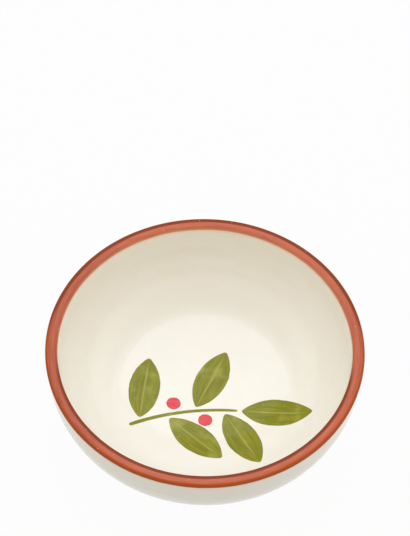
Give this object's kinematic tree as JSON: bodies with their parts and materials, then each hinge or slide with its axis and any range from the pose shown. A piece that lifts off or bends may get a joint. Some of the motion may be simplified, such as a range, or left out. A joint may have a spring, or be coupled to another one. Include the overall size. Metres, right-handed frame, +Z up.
{
  "type": "olive dish",
  "caption": "Shallow round glazed ceramic dish on a foot ring, with a coloured band over its rounded lip and a painted leaf sprig on its dished floor, for olives and nibbles.",
  "frame": {"origin": "centre of the foot ring, on the surface that the dish stands on", "axes": "+Z up along the axis that the dish is turned about, +X to the right of the picture, +Y to its back"},
  "size_m": [0.13, 0.13, 0.047],
  "materials": {
    "clay": "bare fired clay, matt",
    "cream_glaze": "gloss cream glaze",
    "lip_colour": "gloss terracotta glaze colour, brushed on",
    "leaf_paint": "gloss olive green glaze colour, brushed on",
    "berry_paint": "gloss coral glaze colour, brushed on"
  },
  "bodies": {
    "root": {"clay_body": "clay", "inner_glaze": "cream_glaze", "outer_glaze": "cream_glaze", "base_glaze": "cream_glaze", "rim_band": "lip_colour", "sprig_stem": "leaf_paint", "leaf_1": "leaf_paint", "leaf_2": "leaf_paint", "leaf_3": "leaf_paint", "leaf_4": "leaf_paint", "leaf_5": "leaf_paint", "berry_1": "berry_paint", "berry_2": "berry_paint"}
  },
  "joints": []
}
